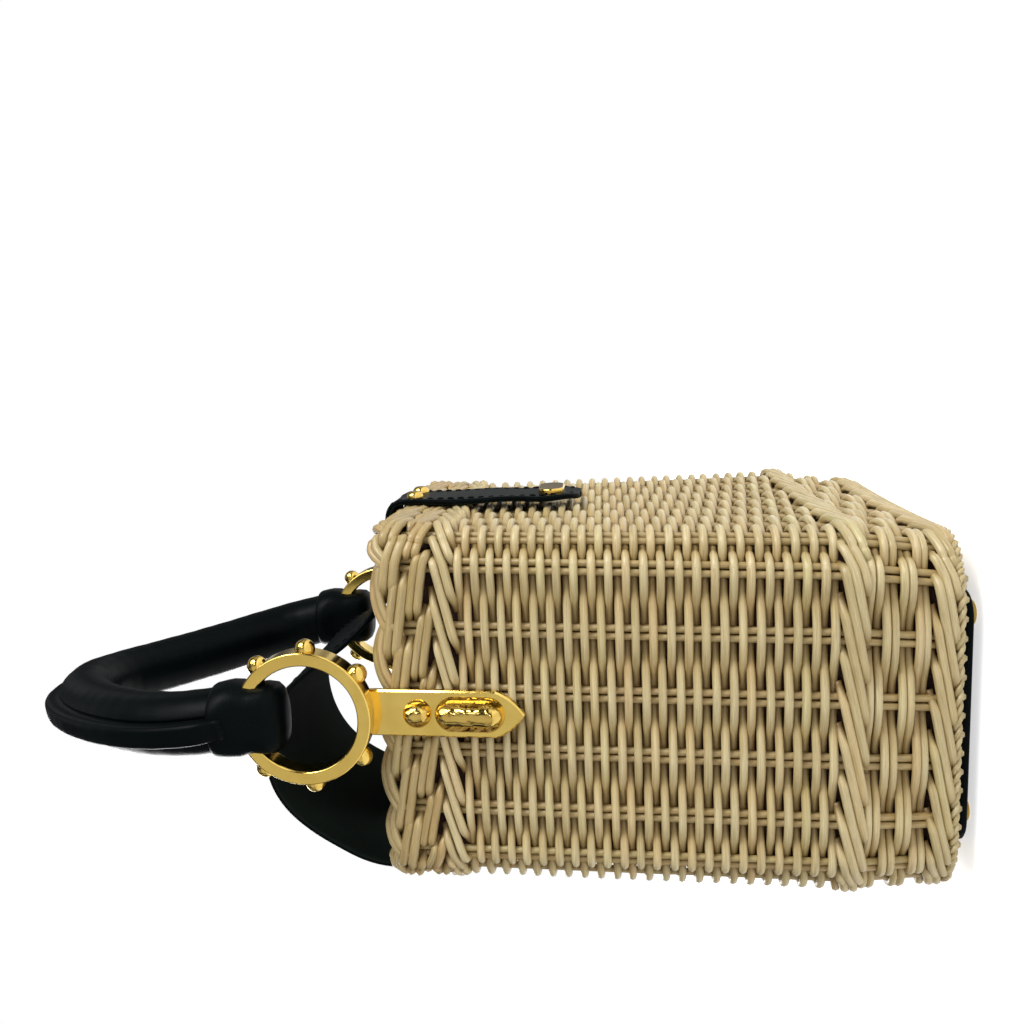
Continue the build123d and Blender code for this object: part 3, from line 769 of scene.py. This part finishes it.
def rib_radius(a):
    """Radius by angle: a round roll with a raised rib on its outside between two creases."""
    half = 3.5 / 11.0
    x = np.abs(a) / half
    rib = 4.3 * np.clip(1 - x ** 5, 0, 1) ** 0.5
    crease = 0.9 * np.exp(-((np.abs(a) - half - 0.035) / 0.04) ** 2)
    return ROLL_R + np.where(x < 1, rib, 0) - crease


tangent = np.gradient(path, axis=0)
tangent /= np.linalg.norm(tangent, axis=1)[:, None]
outside = np.stack([tangent[:, 1], -tangent[:, 0]], -1)
verts = []
rr = rib_radius(angles)
for i in range(len(path)):
    s = i / (len(path) - 1)
    soft = 0.072 * math.sin(i * 0.9) * math.sin(i * 0.37)
    from_end = min(s, 1 - s) * 252
    fade = 0.55 + 0.45 * float(smooth((from_end - 1.0) / 9.0))
    r = np.where(rr > ROLL_R, ROLL_R + (rr - ROLL_R) * fade, rr) + soft
    x = path[i, 0] + outside[i, 0] * r * np.cos(angles)
    up = path[i, 1] + outside[i, 1] * r * np.cos(angles)
    slack = SLACK * math.sin(math.pi * max(0.0, 0.5 - s) / 0.5)
    verts.append(lean_back(x, up, r * np.sin(angles) + slack))
n_ang = len(angles)
verts = np.concatenate(verts)
faces = grid_faces(len(path), n_ang)
faces.append(list(reversed(range(n_ang))))
faces.append([(len(path) - 1) * n_ang + i for i in range(n_ang)])
handle = new_piece("handle_roll", verts, faces, LEATHER, "handle")
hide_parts("handle_leather", "handle_core")

# ---------------------------------------------------------------- leather loops on the hoops
def superloop(cx, cy, z, hx, hy, power=3.0, n=40):
    a = np.linspace(0, 2 * math.pi, n, endpoint=False)
    c, s = np.cos(a), np.sin(a)
    x = np.sign(c) * np.abs(c) ** (2 / power) * hx
    y = np.sign(s) * np.abs(s) ** (2 / power) * hy
    return np.stack([cx + x, cy + y, np.full(n, z)], -1)


LOOP_LEVELS = (
    # height, half across, half along the front, squareness
    (209.2, 2.0, 4.0, 2.2), (209.5, 4.8, 7.4, 2.4), (210.6, 7.0, 9.6, 2.7), (212.4, 8.5, 10.9, 2.9),
    (215.5, 9.3, 11.2, 3.0), (219.5, 9.7, 10.7, 2.9), (221.5, 9.9, 11.1, 2.8), (223.5, 10.2, 11.9, 2.7),
    (226.4, 10.9, 12.1, 2.5), (228.4, 11.6, 12.0, 2.3), (230.0, 12.0, 11.9, 2.1), (231.2, 12.0, 11.8, 2.0),
    (232.0, 11.5, 11.4, 2.0), (232.4, 10.6, 10.6, 2.0), (232.5, 8.0, 8.0, 2.0),
)
for label, side in (("left", -1), ("right", 1)):
    loops = []
    for z, hx, hy, power in LOOP_LEVELS:
        shift = max(z - LEG_Z, 0) * math.tan(LEAN)
        loops.append(superloop(side * RING_X, shift, z, hx, hy, power))
    verts, faces = layered(loops)
    loop = new_piece("loop_leather_" + label, verts, faces, LEATHER, "handle")
    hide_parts("loop_" + label)

# ---------------------------------------------------------------- metal from the CAD
GOLD_NODES = (
    "feet", "back_rivets", "plate_left", "plate_right", "ring_left", "ring_right", "ring_studs_left",
    "ring_studs_right", "plate_rivets", "plate_bosses", "tongue_studs", "closure_plate",
)
for name, obj in nodes.items():
    metal = GOLD if name in GOLD_NODES else STEEL
    metal = DOME if name in ("plate_rivets", "plate_bosses") else metal
    if not obj.data.materials:
        obj.data.materials.append(metal)
    for slot in obj.material_slots:
        slot.material = metal

# ---------------------------------------------------------------- floor, light, camera
mat, tree, shader = material("floor_paint", Roughness=0.9)
shader.inputs["Emission Color"].default_value = (1.0, 1.0, 1.0, 1)
eye = node(tree, "ShaderNodeLightPath")
glow = node(tree, "ShaderNodeMapRange", {"Value": eye.outputs["Is Camera Ray"]})
glow.inputs["To Min"].default_value = 0.25
glow.inputs["To Max"].default_value = 0.62
tree.links.new(glow.outputs[0], shader.inputs["Emission Strength"])
where = node(tree, "ShaderNodeTexCoord")
cloud = node(tree, "ShaderNodeTexNoise", {"Vector": where.outputs["Object"]}, Scale=3.0)
paint = ramp(tree, cloud.outputs["Fac"], ((0.3, (0.90, 0.90, 0.90)), (0.7, (0.93, 0.93, 0.93))))
tree.links.new(paint, shader.inputs["Base Color"])
mesh = bpy.data.meshes.new("floor")
mesh.from_pydata([(-8, -8, 0), (8, -8, 0), (8, 8, 0), (-8, 8, 0)], [], [(0, 1, 2, 3)])
floor = bpy.data.objects.new("floor", mesh)
floor.data.materials.append(mat)
bpy.context.scene.collection.objects.link(floor)

world = bpy.data.worlds.new("studio")
bpy.context.scene.world = world
world.use_nodes = True
tree = world.node_tree
room = tree.nodes["Background"]
room.inputs["Strength"].default_value = 1.0
sight = node(tree, "ShaderNodeTexCoord")
patches = node(tree, "ShaderNodeTexNoise", {"Vector": sight.outputs["Generated"]}, Scale=2.6, Detail=1.0)
room_tone = ramp(tree, patches.outputs["Fac"], (
    (0.40, (0.04, 0.04, 0.045)), (0.50, (0.15, 0.15, 0.16)), (0.60, (0.50, 0.50, 0.49)),
))
# a pale wall towards -X and +Y, a little above the floor, for the metal and the leather to reflect
pale = node(tree, "ShaderNodeVectorMath", {0: sight.outputs["Generated"]}, operation="DOT_PRODUCT")
pale.inputs[1].default_value = Vector((-0.88, 0.33, 0.33)).normalized()
pale_wall = ramp(tree, pale.outputs["Value"], ((0.80, (0.0, 0.0, 0.0)), (0.93, (1.0, 1.0, 1.0))))
tree.links.new(mix(tree, pale_wall, room_tone, (0.66, 0.66, 0.65)), room.inputs["Color"])
backdrop = node(tree, "ShaderNodeBackground")
backdrop.inputs["Color"].default_value = (1.0, 1.0, 1.0, 1)
seen = node(tree, "ShaderNodeLightPath")
views = {0: seen.outputs["Is Camera Ray"], 1: room.outputs[0], 2: backdrop.outputs[0]}
joined = node(tree, "ShaderNodeMixShader", views)
tree.links.new(joined.outputs[0], tree.nodes["World Output"].inputs["Surface"])


def area_light(name, place, target, size, power, colour=(1.0, 1.0, 1.0)):
    data = bpy.data.lights.new(name, "AREA")
    data.shape = "RECTANGLE"
    data.size, data.size_y = size
    data.energy = power
    data.color = colour
    light = bpy.data.objects.new(name, data)
    light.location = place
    light.rotation_euler = (Vector(target) - Vector(place)).to_track_quat("-Z", "Y").to_euler()
    bpy.context.scene.collection.objects.link(light)


aim = (0.0, 0.0, 0.12)
area_light("key", (-0.55, -1.15, 0.75), aim, (0.4, 0.4), 8.5)
area_light("fill", (-1.15, -0.75, 0.62), aim, (0.22, 0.22), 1.1)
area_light("back_fill", (1.2, 0.9, 0.9), aim, (0.8, 0.8), 15)
data = bpy.data.lights.new("daylight", "SUN")
data.energy = 1.35
data.angle = math.radians(40)
sun = bpy.data.objects.new("daylight", data)
sun.rotation_euler = Vector((0.38, 0.85, -0.75)).to_track_quat("-Z", "Y").to_euler()
bpy.context.scene.collection.objects.link(sun)

data = bpy.data.cameras.new("camera")
data.lens = 38.67
data.sensor_width = 36.0
data.shift_y = 0.0537
data.dof.use_dof = False
camera = bpy.data.objects.new("camera", data)
# The photo lies on its side: the bag's top is at the left. Small turns from the square view, in degrees.
TURN = Vector((11.08, 4.67, -2.15))
square = Matrix(((0, 0, -1), (0, 1, 0), (1, 0, 0)))   # rows: right, down, forward
turn = Matrix.Rotation(math.radians(TURN.length), 3, TURN.normalized())
right, down, forward = [row for row in (turn @ square)]
orient = Matrix((right, -down, -forward)).transposed().to_4x4()
camera.matrix_world = Matrix.Translation((-0.3918, -0.1089, 0.1083)) @ orient
bpy.context.scene.collection.objects.link(camera)
bpy.context.scene.camera = camera
bpy.context.scene.view_settings.view_transform = "Standard"
